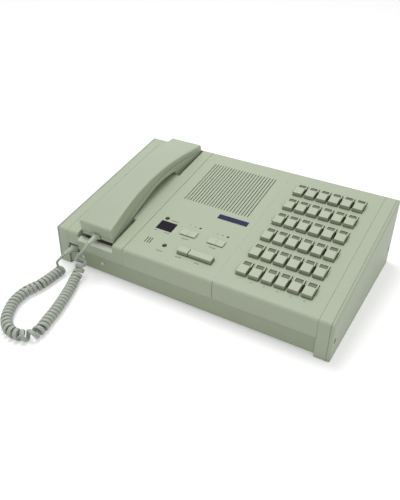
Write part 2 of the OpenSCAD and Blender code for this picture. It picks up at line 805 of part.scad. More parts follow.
// Solid shape of the whole handset, moved inwards by g
module handset_form(g) {
    translate([handset_cx, handset_s, 0]) intersection() {
        along_x(-handset_w, handset_w) polygon(handset_side(g));
        translate([0, 0, -2 * block_depth]) linear_extrude(4 * block_depth + arch_rise + near_top)
            polygon(handset_plan(g));
    }
}

// Everything above the joint of the two shells, moved up by lift
module above_seam(lift) {
    n = profile_steps;
    over = 10;
    top = arch_rise + near_top + 2 * over;
    translate([handset_cx, handset_s, 0]) along_x(-handset_w, handset_w) polygon(concat(
        [[-over, near_seam + lift]], [for (i = [0 : n]) [handset_len * i / n, seam_at(i / n) + lift]],
        [[handset_len + over, far_seam + lift], [handset_len + over, top], [-over, top]]));
}

// Socket for the handset plug, in the near end of the shells
socket_h = 1.5;
socket_w = plug_w + 5;
socket_len = plug_len + 4;
mouth_s = handset_s + 26;
ear_s = handset_s + ear_start + 32;
receiver_d = 32;
mouth_d = 14;
seat_t = 1.5;
seat_h = 4;
hole_d = 2;
holes = [[0, 0], [4, 0], [-4, 0], [0, 4], [0, -4]];

module plug_opening() {
    block([handset_cx - plug_w / 2 - slide_fit, handset_s - 1, socket_h - plug_h / 2 - slide_fit],
        [handset_cx + plug_w / 2 + slide_fit, handset_s + plug_len + fit,
         socket_h + plug_h / 2 + slide_fit]);
}

module handset_top_shell() {
    color(body_color) on_panel() difference() {
        intersection() {
            handset_form(0);
            above_seam(shell_seam / 2);
        }
        handset_form(shell_t);
        plug_opening();
    }
}

module ring(outer, inner, h) {
    difference() {
        cylinder(d = outer, h = h, $fn = 48);
        translate([0, 0, -1]) cylinder(d = inner, h = h + 2, $fn = 48);
    }
}

module handset_bottom_shell() {
    color(body_color) on_panel() difference() {
        union() {
            difference() {
                handset_form(0);
                handset_form(shell_t);
                above_seam(-shell_seam / 2);
            }
            // Socket body
            block([handset_cx - socket_w / 2, handset_s + shell_t / 2, -block_depth + shell_t / 2],
                [handset_cx + socket_w / 2, handset_s + socket_len, near_seam - shell_seam]);
            // Seats of the receiver and the microphone
            translate([handset_cx, ear_s, -block_depth + shell_t / 2])
                ring(receiver_d + 2 * (fit + seat_t), receiver_d + 2 * fit, seat_h);
            translate([handset_cx, mouth_s, -block_depth + shell_t / 2])
                ring(mouth_d + 2 * (fit + seat_t), mouth_d + 2 * fit, seat_h);
        }
        plug_opening();
        // Slope of the socket body under the near end
        translate([handset_cx, handset_s, 0]) along_x(-handset_w, handset_w)
            polygon([[-1, near_low], [0, near_low], [near_cut, -block_depth], [near_cut, -2 * block_depth],
                [-1, -2 * block_depth]]);
        // Sound holes
        for (c = [ear_s, mouth_s], p = holes)
            translate([handset_cx + p.x, c + p.y, -block_depth - 1])
                cylinder(d = hole_d, h = shell_t + 2, $fn = 16);
    }
}

module handset_capsules() {
    z0 = -block_depth + shell_t + slide_fit;
    color([0.2, 0.2, 0.22]) on_panel() {
        translate([handset_cx, ear_s, z0]) {
            cylinder(d = receiver_d, h = 6, $fn = 48);
            cylinder(d = receiver_d / 2, h = 11, $fn = 48);
        }
        translate([handset_cx, mouth_s, z0]) cylinder(d = mouth_d, h = 7, $fn = 48);
    }
}

// ---- plugs and cord ----

boot_d = 8;
boot_end_d = 4.6;
boot_rib = 2.7;
collar = 2;
collar_side = 1.2;

// Plug with its tapered ribbed boot, collar against the socket at the origin, boot towards -Y
module plug_shape(boot_len) {
    ribs = floor((boot_len - collar) / boot_rib);
    groove = 0.5;
    translate([-plug_w / 2, 0, -plug_h / 2]) cube([plug_w, plug_len, plug_h]);
    translate([-plug_w / 2 - collar_side, -collar, -plug_h / 2 - fit])
        cube([plug_w + 2 * collar_side, collar + eps, plug_h + 2 * fit]);
    rotate([90, 0, 0]) rotate_extrude($fn = 32) polygon(concat([[0, collar - eps]],
        [for (i = [0 : ribs - 1]) let (a = mix(collar, boot_len, i / ribs),
            b = mix(collar, boot_len, (i + 1) / ribs), r = mix(boot_d, boot_end_d, i / ribs) / 2)
            each [[r, a - (i == 0 ? eps : 0)], [r, mix(a, b, 0.6)],
                [r - groove, mix(a, b, 0.68)], [r - groove, b]]],
        [[boot_end_d / 2 - groove, boot_len], [0, boot_len]]));
}

module handset_plug() {
    color([0.78, 0.78, 0.72]) on_panel() translate([handset_cx, handset_s - slide_fit, socket_h])
        plug_shape(hand_boot);
}

module base_plug() {
    color([0.78, 0.78, 0.72]) translate([jack_x, tray_y0 + plug_sink, jack_z]) plug_shape(base_boot);
}

// Cord ends: the far faces of the two boots
base_end = [jack_x, tray_y0 + plug_sink - base_boot, jack_z];
hand_s = handset_s - slide_fit - hand_boot;
hand_end = [handset_cx, front_y + hand_s * cos(slope) - socket_h * sin(slope),
    front_h + hand_s * sin(slope) + socket_h * cos(slope)];

// Axis of the coil, from the base end to the handset end
coil_axis = [
    [-157, -132, 7], [-156.5, -148, 7], [-157.5, -170, 7], [-162, -188, 7], [-160, -208, 7],
    [-151, -227, 7], [-141, -239, 7], [-127, -247, 7], [-113, -247, 7], [-103, -240, 7],
    [-101.5, -228, 7], [-104.5, -216, 7], [-111, -190, 7], [-122, -158, 7], [-128.5, -143, 7],
    [-131, -135, 8.5], [-132.5, -128, 12], [-133, -123.5, 17], [-133.3, -121.5, 22]];
// Cord from the base plug to the first curl
base_lead = [[-155, -134, 25], [-157.5, -136.5, 21.5], [-160.5, -135.5, 17], [-162.2, -133, 12]];
// Cord from the last curl to the handset plug
hand_lead = [[-138, -125.5, 24.3], [-135, -128, 29], [-130, -129.8, 34.7], [-125.6, -130.2, 39.9],
    [-122.8, -129, 43.6], [-121.1, -127, 46.2]];

// Point at parameter t in 0..len-1 on a smooth curve through the points
function curve_at(ps, t) =
    let (n = len(ps), i = min(floor(t), n - 2), f = t - i,
         p0 = ps[max(i - 1, 0)], p1 = ps[i], p2 = ps[i + 1], p3 = ps[min(i + 2, n - 1)])
    0.5 * ((2 * p1) + (p2 - p0) * f + (2 * p0 - 5 * p1 + 4 * p2 - p3) * pow(f, 2)
        + (3 * p1 - p0 - 3 * p2 + p3) * pow(f, 3));
function sums(v, i = 0, acc = 0) = i >= len(v) ? [acc] : concat([acc], sums(v, i + 1, acc + v[i]));

axis_steps = 12;
axis_n = (len(coil_axis) - 1) * axis_steps;
axis_pts = [for (i = [0 : axis_n]) curve_at(coil_axis, i / axis_steps)];
function step(i) = axis_pts[min(i, axis_n - 1) + 1] - axis_pts[min(i, axis_n - 1)];
function step_turn(i) = i == 0 ? 0 : acos(min(1, unit(step(i - 1)) * unit(step(i))));
// Running length on the inner side of the bends, so that the curls stay apart there
winding = sums([for (i = [0 : axis_n - 1]) norm(step(i)) - curl_d / 2 * step_turn(i) * PI / 180]);
coil_len = sums([for (i = [0 : axis_n - 1]) norm(step(i))])[axis_n];
function find_step(l, lo, hi) =
    hi - lo <= 1 ? lo : let (mid = floor((lo + hi) / 2)) winding[mid] <= l ? find_step(l, mid, hi)
        : find_step(l, lo, mid);
// Fractional index on the axis of ring i
function axis_index(i) =
    let (l = winding[axis_n] * i / coil_n, k = find_step(l, 0, axis_n))
    min(axis_n, k + (l - winding[k]) / (winding[k + 1] - winding[k]));
function axis_at(k) = curve_at(coil_axis, k / axis_steps);
function axis_dir(k) = unit(axis_at(min(k + 0.5, axis_n)) - axis_at(max(k - 0.5, 0)));

rings_per_curl = 8;
curl_r = (curl_d - cord_t) / 2;
start_turn = 180;
coil_n = (curls - 0.5) * rings_per_curl;
// Side directions that turn as little as possible along the axis
function carry(i, u) =
    i > coil_n ? [] : let (d = axis_dir(axis_index(i)), v = unit(u - d * (u * d)))
        concat([v], carry(i + 1, v));
sides = carry(0, [1, 0, 0]);
function coil_point(i) =
    let (k = axis_index(i), d = axis_dir(k), w = cross(d, sides[i]),
         a = start_turn + 360 * i / rings_per_curl)
    axis_at(k) + curl_r * (sides[i] * cos(a) + w * sin(a));
coil_pts = [for (i = [0 : coil_n]) coil_point(i)];

cord_pts = concat([base_end, base_end - [0, cord_w, 0]], base_lead, coil_pts, hand_lead,
    [hand_end - cord_w * [0, cos(slope), sin(slope)], hand_end]);
cord_n = len(cord_pts);
first_coil = len(base_lead) + 2;
last_coil = first_coil + coil_n;
function cord_dir(i) =
    i == 0 ? [0, -1, 0] : i == cord_n - 1 ? [0, cos(slope), sin(slope)]
        : unit(unit(cord_pts[i + 1] - cord_pts[i]) + unit(cord_pts[i] - cord_pts[i - 1]));
// The wide side of the cord lies along the coil's axis
function wide_hint(i) = axis_dir(axis_index(min(max(i - first_coil, 0), coil_n)));
function blend_in(i) = min(1, max(0, min(i - first_coil + 2, last_coil + 2 - i) / 2));
function cord_side(i, prev) =
    let (d = cord_dir(i), h = i >= first_coil && i <= last_coil ? wide_hint(i) : prev)
    unit(h - d * (h * d));
function side_list(i, prev) =
    i >= cord_n ? [] : let (v = cord_side(i, prev)) concat([v], side_list(i + 1, v));
cord_sides = side_list(0, [1, 0, 0]);
function cord_ring(i) =
    let (a = cord_sides[i], b = cross(cord_dir(i), a), w = mix(cord_t, cord_w, blend_in(i)))
    [for (k = [0 : 5]) cord_pts[i] + a * (w / 2 * cos(60 * k)) + b * (cord_t / 2 * sin(60 * k))];

// Tube through rings of equal length, its faces triangles
module swept(rings) {
    n = len(rings[0]);
    m = len(rings);
    polyhedron(points = [for (r = rings) each r], faces = concat(
        [for (i = [1 : n - 2]) [0, i + 1, i]],
        [for (i = [1 : n - 2]) [(m - 1) * n, (m - 1) * n + i, (m - 1) * n + i + 1]],
        [for (k = [0 : m - 2], i = [0 : n - 1]) let (a = k * n + i, b = k * n + (i + 1) % n)
            each [[a, b, b + n], [a, b + n, a + n]]]), convexity = 8);
}

cord_rings = [for (i = [0 : cord_n - 1]) cord_ring(i)];
module curly_cord() {
    color([0.74, 0.77, 0.72]) swept(cord_rings);
}

// Least gap of the cord to itself, between the points of rings about a curl apart
function ring_gap(a, b) = min([for (p = a, q = b) norm(p - q)]);
least_gap = min([for (i = [0 : cord_n - 1], j = [i + 6 : min(i + 10, cord_n - 1)])
    ring_gap(cord_rings[i], cord_rings[j])]);
echo(str("least gap between curls ", least_gap, " mm"));
function path_len(v, i = 0, acc = 0) =
    i >= len(v) - 1 ? acc : path_len(v, i + 1, acc + norm(v[i + 1] - v[i]));
echo(str("cord length ", path_len(cord_pts), " mm, coil axis ", coil_len, " mm"));
echo(str("lowest point of the cord ", min([for (r = cord_rings, p = r) p.z]), " mm"));

// ---- fasteners ----

// Screw with its head's underside at the origin and its shank towards -Z
module screw(head, shank, length, height) {
    difference() {
        union() {
            cylinder(d = head, h = height, $fn = 32);
            translate([0, 0, -length]) cylinder(d = shank, h = length + eps, $fn = 24);
        }
        for (a = [0, 90]) rotate(a) translate([-head * 0.3, -0.4, height - 0.7]) cube([head * 0.6, 0.8, 1]);
    }
}

module screws() {
    color([0.7, 0.7, 0.7]) {
        for (sx = [-1, 1], sy = [-1, 1])
            translate([sx * (inner_x + cap_w - side_bore_l + slide_fit / 2), sy * (rear_y - side_screw_y),
                side_screw_z]) rotate([0, sx * 90, 0])
                screw(screw_head, screw_d, cap_w - side_bore_l + side_bite, head_h);
        for (x = front_screw_x)
            translate([x, tray_y0 - slide_fit / 2, front_screw_z]) rotate([90, 0, 0])
                screw(front_head_d, front_shank_d, front_boss_l + 0.5, front_head_h);
        for (p = cover_boss)
            translate([p.x, p.y, tray_z + cover_head_h - slide_fit / 2]) rotate([180, 0, 0])
                screw(screw_head, screw_d, cover_screw_l, cover_head_h);
    }
}

// ---- nodes ----

base_tray();
left_end_cap();
right_end_cap();
cradle_cover();
control_cover();
key_cover();
badge_plate();
display_window();
main_board();
key_board();
lamp_lenses();
speaker();
hook_plunger();
slider_cap(slider_xs[0]);  // volume_slider
slider_cap(slider_xs[1]);  // tone_slider
bar_key(cancel_x, cancel_w);  // cancel_key
bar_key(talk_x, talk_w);  // talk_key
handset_top_shell();
handset_bottom_shell();
handset_capsules();
curly_cord();
handset_plug();
base_plug();
screws();
for (r = [0 : key_rows - 1], c = [0 : key_cols - 1])
    station_key(r, c);
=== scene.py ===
"""Looks of a desk intercom master station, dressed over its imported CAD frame. Metres, +Z up."""

import json
import math
from bisect import bisect_right

import bmesh
import bpy
from mathutils import Matrix, Vector

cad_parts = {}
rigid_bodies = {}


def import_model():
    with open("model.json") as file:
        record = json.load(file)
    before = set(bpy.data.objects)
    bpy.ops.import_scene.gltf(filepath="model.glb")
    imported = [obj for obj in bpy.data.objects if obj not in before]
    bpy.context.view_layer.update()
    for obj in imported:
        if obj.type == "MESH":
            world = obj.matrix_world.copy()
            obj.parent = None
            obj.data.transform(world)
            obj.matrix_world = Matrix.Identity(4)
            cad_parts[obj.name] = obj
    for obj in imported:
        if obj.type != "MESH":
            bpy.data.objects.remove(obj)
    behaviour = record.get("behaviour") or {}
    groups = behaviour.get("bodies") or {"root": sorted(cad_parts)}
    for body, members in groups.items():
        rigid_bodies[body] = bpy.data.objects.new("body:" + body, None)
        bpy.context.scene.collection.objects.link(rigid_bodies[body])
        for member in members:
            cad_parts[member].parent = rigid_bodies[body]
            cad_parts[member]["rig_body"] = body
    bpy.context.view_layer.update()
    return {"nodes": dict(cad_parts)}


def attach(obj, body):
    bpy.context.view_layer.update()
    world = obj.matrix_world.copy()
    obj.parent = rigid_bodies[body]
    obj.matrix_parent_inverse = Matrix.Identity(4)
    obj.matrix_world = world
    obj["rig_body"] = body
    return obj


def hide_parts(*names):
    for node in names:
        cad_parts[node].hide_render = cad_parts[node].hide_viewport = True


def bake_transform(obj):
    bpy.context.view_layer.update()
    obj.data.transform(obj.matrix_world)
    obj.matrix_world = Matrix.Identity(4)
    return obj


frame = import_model()
MM = 0.001

# ---- sizes repeated from the CAD source, in millimetres ----

BODY_DEPTH = 218.0
FRONT_HEIGHT = 49.5
REAR_HEIGHT = 90.0
SLOPE = math.atan2(REAR_HEIGHT - FRONT_HEIGHT, BODY_DEPTH)
CONTROL_LEFT = -79.5
KEY_LEFT = 41.5
KEY_RIGHT = 163.6
COLUMN_PITCH = 15.3
COLUMNS = 6
FIRST_COLUMN = (KEY_LEFT + KEY_RIGHT) / 2 - (COLUMNS - 1) * COLUMN_PITCH / 2
HANDSET_CENTRE = -120.7
HANDSET_NEAR = 6.3
HANDSET_LENGTH = 211.0
SLIDER_XS = (CONTROL_LEFT + 57.3, CONTROL_LEFT + 94.5)
SLIDER_S = 57.9
SLIDER_TOP = 1.5
LEDGE_HALF, LEDGE_TOP, LEDGE_DEPTH, LEDGE_ROUND = 26.3, 43.2, 6.8, 4.0
KEY_WIDTH, KEY_LENGTH = 11.9, 22.2
ROW_START, ROW_PITCH, ROWS = 22.8, 30.8, 6
ROW_SLOT_FROM, ROW_SLOT_TO = 5.0, 5.6
NEAR_TOP, FAR_TOP = 17.5, 10.5
ARCH_RISE, SHOULDER_RISE, SHOULDER_END = 11.0, 0.5, 0.45
NEAR_LOW, NEAR_CUT, BLOCK_DEPTH = -2.5, 5.0, 10.0

CORD_WIDTH = 4.8
CORD_THICKNESS = 2.8
CURL_DIAMETER = 13.4
CURLS = 48
RINGS_PER_CURL = 8
START_TURN = math.pi
BASE_END = (-154.8, -127.3, 26.2)
HAND_BOOT = 16.5
HAND_SOCKET_HEIGHT = 1.5
PLUG_FIT = 0.2

COIL_AXIS = [
    (-157, -132, 7), (-156.5, -148, 7), (-157.5, -170, 7), (-162, -188, 7), (-160, -208, 7),
    (-151, -227, 7), (-141, -239, 7), (-127, -247, 7), (-113, -247, 7), (-103, -240, 7),
    (-101.5, -228, 7), (-104.5, -216, 7), (-111, -190, 7), (-122, -158, 7), (-128.5, -143, 7),
    (-131, -135, 8.5), (-132.5, -128, 12), (-133, -123.5, 17), (-133.3, -121.5, 22),
]
BASE_LEAD = [(-155, -134, 25), (-157.5, -136.5, 21.5), (-160.5, -135.5, 17), (-162.2, -133, 12)]
HAND_LEAD = [
    (-138, -125.5, 24.3), (-135, -128, 29), (-130, -129.8, 34.7), (-125.6, -130.2, 39.9),
    (-122.8, -129, 43.6), (-121.1, -127, 46.2),
]


def panel_point(x, s, h=0.0):
    """Point in metres at x across, s up the slope from the front top edge and h out of the panel."""
    return MM * Vector((
        x,
        -BODY_DEPTH / 2 + s * math.cos(SLOPE) - h * math.sin(SLOPE),
        FRONT_HEIGHT + s * math.sin(SLOPE) + h * math.cos(SLOPE),
    ))


def on_panel(x, s, h=0.0):
    """Matrix that lays a shape, drawn in metres round its own origin, on the panel."""
    return Matrix.Translation(panel_point(x, s, h)) @ Matrix.Rotation(SLOPE, 4, "X")


# ---- camera, floor and light ----

IMAGE_HEIGHT = 500
FOCAL_PIXELS = 580.79
SENSOR = 36.0
CAMERA_PLACE = Vector((0.28182, -0.55228, 0.42559))
VIEW_WAY = Vector((-0.41633, 0.72165, -0.55307))
RIGHT_WAY = Vector((0.86165, 0.50733, 0.01334))


def make_camera():
    data = bpy.data.cameras.new("camera")
    data.sensor_width = SENSOR
    data.lens = FOCAL_PIXELS / IMAGE_HEIGHT * SENSOR
    camera = bpy.data.objects.new("camera", data)
    back = -VIEW_WAY.normalized()
    right = (RIGHT_WAY - back * RIGHT_WAY.dot(back)).normalized()
    up = back.cross(right)
    turn = Matrix((right, up, back)).transposed().to_4x4()
    camera.matrix_world = Matrix.Translation(CAMERA_PLACE) @ turn
    bpy.context.scene.collection.objects.link(camera)
    bpy.context.scene.camera = camera


def seen_ray(nodes, links):
    """1 for rays from the camera, from gloss and through glass, and 0 for light on the object."""
    path = nodes.new("ShaderNodeLightPath")
    either = nodes.new("ShaderNodeMath")
    either.operation = "MAXIMUM"
    links.new(path.outputs["Is Camera Ray"], either.inputs[0])
    links.new(path.outputs["Is Glossy Ray"], either.inputs[1])
    every = nodes.new("ShaderNodeMath")
    every.operation = "MAXIMUM"
    links.new(either.outputs[0], every.inputs[0])
    links.new(path.outputs["Is Transmission Ray"], every.inputs[1])
    return every.outputs[0]


SKY_LEVEL = 0.56
FLOOR_TONE = 0.82
FLOOR_GLOW = 0.4
FLOOR_SIZE = 12.0


def make_world():
    world = bpy.data.worlds.new("studio")
    world.use_nodes = True
    nodes, links = world.node_tree.nodes, world.node_tree.links
    background = nodes["Background"]
    background.inputs["Color"].default_value = (1, 1, 1, 1)
    level = nodes.new("ShaderNodeMapRange")
    level.inputs["To Min"].default_value = SKY_LEVEL
    level.inputs["To Max"].default_value = 1.0
    links.new(seen_ray(nodes, links), level.inputs["Value"])
    links.new(level.outputs[0], background.inputs["Strength"])
    bpy.context.scene.world = world


def make_floor():
    mesh = bpy.data.meshes.new("floor")
    bm = bmesh.new()
    bmesh.ops.create_grid(bm, x_segments=1, y_segments=1, size=FLOOR_SIZE / 2)
    bm.to_mesh(mesh)
    bm.free()
    floor = bpy.data.objects.new("floor", mesh)
    bpy.context.scene.collection.objects.link(floor)
    paint = bpy.data.materials.new("pale_floor")
    paint.use_nodes = True
    nodes, links = paint.node_tree.nodes, paint.node_tree.links
    shader = nodes["Principled BSDF"]
    shader.inputs["Base Color"].default_value = (FLOOR_TONE, FLOOR_TONE, FLOOR_TONE, 1)
    shader.inputs["Roughness"].default_value = 0.9
    shader.inputs["Emission Color"].default_value = (1, 1, 1, 1)
    glow = nodes.new("ShaderNodeMath")
    glow.operation = "MULTIPLY"
    glow.inputs[1].default_value = FLOOR_GLOW
    links.new(seen_ray(nodes, links), glow.inputs[0])
    links.new(glow.outputs[0], shader.inputs["Emission Strength"])
    mesh.materials.append(paint)


def area_lamp(name, place, target, size, power):
    data = bpy.data.lights.new(name, "AREA")
    data.shape = "DISK"
    data.size = size
    data.energy = power
    lamp = bpy.data.objects.new(name, data)
    way = Vector(target) - Vector(place)
    lamp.matrix_world = Matrix.Translation(place) @ way.to_track_quat("-Z", "Y").to_matrix().to_4x4()
    bpy.context.scene.collection.objects.link(lamp)


make_camera()
make_world()
make_floor()
area_lamp("key_lamp", (-0.35, 0.25, 1.75), (0, 0, 0.05), 0.7, 12.5)
bpy.context.scene.view_settings.view_transform = "Standard"

# ---- shared effects ----


class Tree:
    """Short calls that add nodes to a material's or a group's tree."""

    def __init__(self, tree):
        self.nodes, self.links = tree.nodes, tree.links

    def put(self, kind, values=None, wires=None, **settings):
        node = self.nodes.new(kind)
        for name, value in settings.items():
            setattr(node, name, value)
        for name, value in (values or {}).items():
            node.inputs[name].default_value = value
        for name, source in (wires or {}).items():
            self.links.new(source, node.inputs[name])
        return node

    def noise(self, where, scale, detail=3.0, roughness=0.55):
        values = {"Scale": scale, "Detail": detail, "Roughness": roughness}
        return self.put("ShaderNodeTexNoise", values, {"Vector": where}).outputs["Fac"]

    def spread(self, value, low, high, to_low=0.0, to_high=1.0):
        values = {"From Min": low, "From Max": high, "To Min": to_low, "To Max": to_high}
        return self.put("ShaderNodeMapRange", values, {"Value": value}).outputs["Result"]

    def maths(self, operation, a, b):
        node = self.nodes.new("ShaderNodeMath")
        node.operation = operation
        for slot, value in enumerate((a, b)):
            if isinstance(value, (int, float)):
                node.inputs[slot].default_value = value
            else:
                self.links.new(value, node.inputs[slot])
        return node.outputs[0]

    def blend(self, share, under, over):
        node = self.put("ShaderNodeMix", data_type="RGBA")
        for slot, value in ((0, share), (6, under), (7, over)):
            if isinstance(value, (int, float, tuple)):
                node.inputs[slot].default_value = value
            else:
                self.links.new(value, node.inputs[slot])
        return node.outputs[2]


def new_group(name, sockets, results):
    """An empty shader group, its Tree, its inputs and the node that its results go to."""
    group = bpy.data.node_groups.new(name, "ShaderNodeTree")
    for label, kind, value in sockets:
        group.interface.new_socket(label, in_out="INPUT", socket_type=kind).default_value = value
    for label, kind in results:
        group.interface.new_socket(label, in_out="OUTPUT", socket_type=kind)
    tree = Tree(group)
    given = tree.nodes.new("NodeGroupInput").outputs
    result = tree.nodes.new("NodeGroupOutput").inputs
    return group, tree, given, result


def make_tone_drift():
    """A moulding's colour with broad cloudy drift, fine speckle and yellowed patches."""
    group, tree, given, result = new_group(
        "tone_drift",
        [("Colour", "NodeSocketColor", (0.5, 0.5, 0.5, 1)), ("Aged", "NodeSocketColor", (0.5, 0.45, 0.3, 1)),
         ("Ageing", "NodeSocketFloat", 0.2), ("Drift", "NodeSocketFloat", 0.05)],
        [("Colour", "NodeSocketColor")],
    )
    where = tree.put("ShaderNodeTexCoord").outputs["Object"]
    cloud = tree.noise(where, 9.0, 2.0)
    patch = tree.spread(tree.noise(where, 23.0, 4.0), 0.45, 0.75)
    speck = tree.noise(where, 900.0, 2.0)
    aged = tree.blend(tree.maths("MULTIPLY", patch, given["Ageing"]), given["Colour"], given["Aged"])
    light = tree.maths("MULTIPLY", tree.maths("SUBTRACT", cloud, 0.5), given["Drift"])
    grain = tree.maths("MULTIPLY", tree.maths("SUBTRACT", speck, 0.5), 0.05)
    level = tree.maths("ADD", tree.maths("ADD", light, grain), 1.0)
    drifted = tree.put("ShaderNodeHueSaturation", None, {"Value": level, "Color": aged})
    tree.links.new(drifted.outputs[0], result["Colour"])
    return group


def make_edge_rub_and_gap_shade():
    """Mask of rubbed outer edges, broken up by noise, and mask of dirt and painted shade in gaps and corners,
    from ambient occlusion.
    """
    group, tree, given, result = new_group(
        "edge_rub_and_gap_shade",
        [("Width", "NodeSocketFloat", 0.001), ("Wear", "NodeSocketFloat", 0.4),
         ("Dirt And Shade Amount", "NodeSocketFloat", 0.5), ("Shade Reach", "NodeSocketFloat", 0.004)],
        [("Rubbed", "NodeSocketFloat"), ("Dirt And Shade", "NodeSocketFloat")],
    )
    where = tree.put("ShaderNodeTexCoord").outputs["Object"]
    face = tree.put("ShaderNodeNewGeometry").outputs["Normal"]
    eased = tree.put("ShaderNodeBevel", None, {"Radius": given["Width"]}, samples=6).outputs["Normal"]
    agree = tree.put("ShaderNodeVectorMath", None, {0: face, 1: eased}, operation="DOT_PRODUCT")
    edge = tree.spread(agree.outputs["Value"], 0.99, 0.8)
    open_air = tree.put(
        "ShaderNodeAmbientOcclusion", None, {"Distance": given["Shade Reach"]}, samples=6
    ).outputs["AO"]
    ragged = tree.spread(tree.noise(where, 140.0, 4.0), 0.3, 0.6, 0.35, 1.0)
    rubbed = tree.maths("MULTIPLY", tree.maths("MULTIPLY", edge, ragged), open_air)
    tree.links.new(tree.maths("MULTIPLY", rubbed, given["Wear"]), result["Rubbed"])
    # Gaps and corners get dirt and painted shade: the occlusion mask darkens them where shade falls.
    shut = tree.spread(open_air, 0.75, 0.2)
    dirt_and_shade_mask = tree.maths("MULTIPLY", tree.maths("MULTIPLY", shut, ragged), given["Dirt And Shade Amount"])
    tree.links.new(dirt_and_shade_mask, result["Dirt And Shade"])
    return group


def make_steep_shade():
    """Mask of painted shade on faces that stand steeply or look down, broken up by noise."""
    group, tree, given, result = new_group(
        "steep_shade", [("Amount", "NodeSocketFloat", 0.0)], [("Steep Shade", "NodeSocketFloat")]
    )
    coordinates = tree.put("ShaderNodeTexCoord").outputs
    upright = tree.put("ShaderNodeSeparateXYZ", None, {"Vector": coordinates["Normal"]}).outputs["Z"]
    steep = tree.spread(upright, 0.72, 0.3)
    smear = tree.spread(tree.noise(coordinates["Object"], 30.0, 5.0, 0.65), 0.3, 0.7, 0.75, 1.0)
    mask = tree.maths("MULTIPLY", tree.maths("MULTIPLY", steep, smear), given["Amount"])
    tree.links.new(mask, result["Steep Shade"])
    return group


def make_mould_grain():
    """Height of a moulding's fine spark-eroded texture with a slow waviness under it."""
    group, tree, given, result = new_group(
        "mould_grain",
        [("Grain", "NodeSocketFloat", 2600.0), ("Depth", "NodeSocketFloat", 0.6)],
        [("Height", "NodeSocketFloat")],
    )
    where = tree.put("ShaderNodeTexCoord").outputs["Object"]
    grain = tree.nodes.new("ShaderNodeTexNoise")
    tree.links.new(where, grain.inputs["Vector"])
    tree.links.new(given["Grain"], grain.inputs["Scale"])
    grain.inputs["Detail"].default_value = 2.0
    wave = tree.noise(where, 35.0, 1.0)
    fine = tree.maths("MULTIPLY", grain.outputs["Fac"], given["Depth"])
    tree.links.new(tree.maths("ADD", fine, wave), result["Height"])
    return group


def make_gloss_wear():
    """Roughness round a middle value, polished where hands rub and dull where dust lies."""
    group, tree, given, result = new_group(
        "gloss_wear",
        [("Middle", "NodeSocketFloat", 0.45), ("Spread", "NodeSocketFloat", 0.12)],
        [("Roughness", "NodeSocketFloat")],
    )
    where = tree.put("ShaderNodeTexCoord").outputs["Object"]
    smear = tree.maths("SUBTRACT", tree.noise(where, 18.0, 5.0, 0.65), 0.5)
    value = tree.maths("ADD", given["Middle"], tree.maths("MULTIPLY", smear, given["Spread"]))
    tree.links.new(value, result["Roughness"])
    return group


TONE_DRIFT = make_tone_drift()
EDGE_RUB_AND_GAP_SHADE = make_edge_rub_and_gap_shade()
STEEP_SHADE = make_steep_shade()
MOULD_GRAIN = make_mould_grain()
GLOSS_WEAR = make_gloss_wear()


def srgb(r, g, b):
    """A colour written as 0-255 screen values, as the linear colour that shaders take."""
    def linear(v):
        v /= 255
        return v / 12.92 if v <= 0.04045 else ((v + 0.055) / 1.055) ** 2.4
    return (linear(r), linear(g), linear(b), 1.0)


# ---- finishes ----


def start_material(name):
    material = bpy.data.materials.new(name)
    material.use_nodes = True
    return material, Tree(material.node_tree), material.node_tree.nodes["Principled BSDF"]


def moulding(name, colour, aged, rubbed, dirt_and_shade_colour, roughness=0.46, ageing=0.25, drift=0.06,
             depth=0.6, bump=0.05, wear=0.4, gloss_spread=0.14, specular=0.5, steep_face_shade=0.0,
             gap_dirt_and_shade=0.5, shade_reach=0.004):
    """Moulded plastic: drifting colour, rubbed edges, dirt and painted shade in gaps and corners, painted
    shade on steep faces where asked, and a fine mould texture.
    """
    material, tree, shader = start_material(name)
    values = {"Colour": colour, "Aged": aged, "Ageing": ageing, "Drift": drift}
    tone = tree.put("ShaderNodeGroup", node_tree=TONE_DRIFT)
    for label, value in values.items():
        tone.inputs[label].default_value = value
    rub_and_shade = tree.put("ShaderNodeGroup", node_tree=EDGE_RUB_AND_GAP_SHADE)
    rub_and_shade.inputs["Wear"].default_value = wear
    rub_and_shade.inputs["Dirt And Shade Amount"].default_value = gap_dirt_and_shade
    rub_and_shade.inputs["Shade Reach"].default_value = shade_reach
    worn = tree.blend(rub_and_shade.outputs["Rubbed"], tone.outputs["Colour"], rubbed)
    # Dirt and painted shade darken the gaps and corners that the occlusion mask finds.
    soiled_and_shaded = tree.blend(rub_and_shade.outputs["Dirt And Shade"], worn, dirt_and_shade_colour)
    # Steep and downward faces get painted shade when asked.
    if steep_face_shade:
        steep = tree.put("ShaderNodeGroup", node_tree=STEEP_SHADE)
        steep.inputs["Amount"].default_value = steep_face_shade
        soiled_and_shaded = tree.blend(steep.outputs["Steep Shade"], soiled_and_shaded, dirt_and_shade_colour)
    tree.links.new(soiled_and_shaded, shader.inputs["Base Color"])
    gloss = tree.put("ShaderNodeGroup", node_tree=GLOSS_WEAR)
    gloss.inputs["Middle"].default_value = roughness
    gloss.inputs["Spread"].default_value = gloss_spread
    tree.links.new(gloss.outputs["Roughness"], shader.inputs["Roughness"])
    surface = tree.put("ShaderNodeGroup", node_tree=MOULD_GRAIN)
    surface.inputs["Depth"].default_value = depth
    relief = tree.put(
        "ShaderNodeBump", {"Strength": bump, "Distance": 0.001}, {"Height": surface.outputs["Height"]}
    )
    tree.links.new(relief.outputs["Normal"], shader.inputs["Normal"])
    shader.inputs["Specular IOR Level"].default_value = specular
    return material


CASE_TONE = srgb(183, 193, 170)
CASE_AGED = srgb(190, 190, 156)
CASE_RUBBED = srgb(204, 211, 190)
# Dark colour for dirt and for painted shade in the case's gaps, its well and along the handset.
CASE_DIRT_AND_SHADE = srgb(74, 72, 62)

